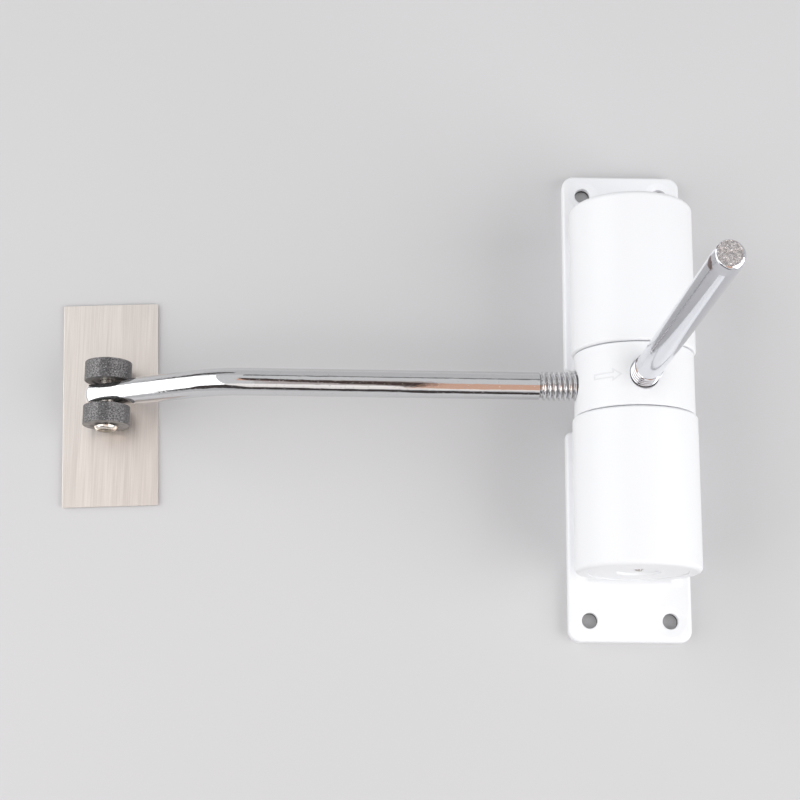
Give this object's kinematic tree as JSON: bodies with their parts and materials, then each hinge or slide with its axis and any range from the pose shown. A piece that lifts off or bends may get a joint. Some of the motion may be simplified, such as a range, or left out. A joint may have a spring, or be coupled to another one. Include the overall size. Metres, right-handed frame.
{
  "type": "door closer",
  "caption": "Surface-mounted spring door closer: screw plate with spring barrels, turning collar, bent roller arm, tension rod and separate wear plate.",
  "frame": {"origin": "centre of the housing's flat back face, which lies on the door", "axes": "+Z out of the door; +Y along the barrels, upwards on a hung door; the arm reaches out along -X and the wear plate lies there"},
  "size_m": [0.2118, 0.1618, 0.1606],
  "materials": {
    "white_enamel": "gloss powder coat on a casting",
    "chrome": "bright chrome plate",
    "plain_steel": "plain turned steel",
    "spring_steel": "oiled spring wire",
    "nylon": "natural nylon",
    "roller_grey": "dark grey, matte, finely speckled",
    "brushed_steel": "stainless steel brushed along its length",
    "foam_tape": "white foam tape"
  },
  "bodies": {
    "body": {"housing": "white_enamel", "spindle": "plain_steel", "upper_plug": "white_enamel", "lower_plug": "white_enamel", "upper_plug_pin": "plain_steel", "lower_plug_pin": "plain_steel", "upper_bushing": "nylon", "lower_bushing": "nylon", "upper_spring": "spring_steel", "lower_spring": "spring_steel", "wear_plate": "brushed_steel", "adhesive_pad": "foam_tape"},
    "collar_body": {"collar": "white_enamel", "upper_spring_washer": "plain_steel", "lower_spring_washer": "plain_steel"},
    "arm_body": {"arm": "chrome", "axle_rivet": "plain_steel"},
    "upper_roller_body": {"upper_roller": "roller_grey"},
    "lower_roller_body": {"lower_roller": "roller_grey"},
    "rod_body": {"tension_rod": "chrome"}
  },
  "joints": [
    {"name": "collar_turn", "type": "hinge", "parent": "body", "child": "collar_body", "pos_m": [0, 0, 0.024], "axis": [0, 1, 0], "range_deg": [0, 95], "stiffness_Nm_per_rad": 1.5, "springref_deg": -34.38, "deforming": ["upper_spring", "lower_spring"]},
    {"name": "arm_thread", "type": "slide", "parent": "collar_body", "child": "arm_body", "axis": [-0.9996, -0.0044, 0.029], "range_m": [0, 0.014]},
    {"name": "rod_thread", "type": "slide", "parent": "collar_body", "child": "rod_body", "axis": [0.029, 0, 0.9996], "range_m": [0, 0.02]},
    {"name": "upper_roller_spin", "type": "hinge", "parent": "arm_body", "child": "upper_roller_body", "pos_m": [-0.17402, -0.00076, 0.0093], "axis": [-0.0044, 1, 0.0001], "continuous": true},
    {"name": "lower_roller_spin", "type": "hinge", "parent": "arm_body", "child": "lower_roller_body", "pos_m": [-0.17402, -0.00076, 0.0093], "axis": [-0.0044, 1, 0.0001], "continuous": true}
  ]
}
